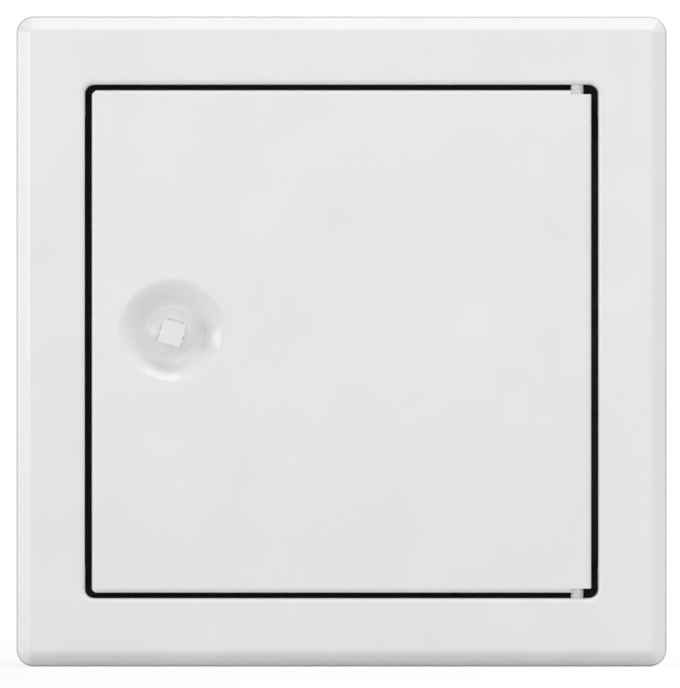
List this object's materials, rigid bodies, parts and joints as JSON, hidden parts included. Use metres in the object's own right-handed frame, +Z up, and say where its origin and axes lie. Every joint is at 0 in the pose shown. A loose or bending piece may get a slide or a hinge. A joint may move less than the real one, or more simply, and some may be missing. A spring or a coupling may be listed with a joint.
{
  "type": "access panel",
  "caption": "Square sheet-steel access panel: bevelled frame with a wall sleeve, and a folded door on corner pins with a square-key lock in a pressed dish.",
  "frame": {"origin": "centre of the square opening, on the wall's surface that the flange's rim lies on", "axes": "-Y towards the viewer at the front, +Y into the wall, +Z up, +X to the hinge side"},
  "size_m": [0.19, 0.04, 0.19],
  "materials": {
    "white_coat": "satin white powder coat on sheet steel",
    "zinc_plate": "zinc-plated sheet steel",
    "rivet_steel": "plain steel, lightly oiled",
    "black_foam": "closed-cell black foam"
  },
  "bodies": {
    "frame": {"front_frame": "white_coat", "wall_sleeve": "white_coat", "stop_rail_top": "white_coat", "stop_rail_bottom": "white_coat", "stop_rail_lock_side": "white_coat", "stop_rail_hinge_side": "white_coat", "door_seal_top": "black_foam", "door_seal_bottom": "black_foam", "door_seal_lock_side": "black_foam", "door_seal_hinge_side": "black_foam", "wall_anchor_upper_left": "zinc_plate", "wall_anchor_lower_left": "zinc_plate", "wall_anchor_upper_right": "zinc_plate", "wall_anchor_lower_right": "zinc_plate", "anchor_rivets": "rivet_steel", "hinge_pin_upper": "white_coat", "hinge_pin_lower": "white_coat"},
    "door": {"door_leaf": "white_coat", "hinge_bracket_upper": "zinc_plate", "hinge_bracket_lower": "zinc_plate", "lock_bush": "white_coat", "ring_nut": "zinc_plate"},
    "lock": {"lock_spindle": "white_coat", "lock_tongue": "zinc_plate", "flat_washer": "zinc_plate", "spring_washer": "rivet_steel", "lock_nut": "zinc_plate"}
  },
  "joints": [
    {"name": "door_hinge", "type": "hinge", "parent": "frame", "child": "door", "pos_m": [0.06885, -0.001, 0], "axis": [0, 0, 1], "range_deg": [0, 105]},
    {"name": "lock_turn", "type": "hinge", "parent": "door", "child": "lock", "pos_m": [-0.04955, 0, 0.0025], "axis": [0, 1, 0], "range_deg": [-17, 73]}
  ]
}
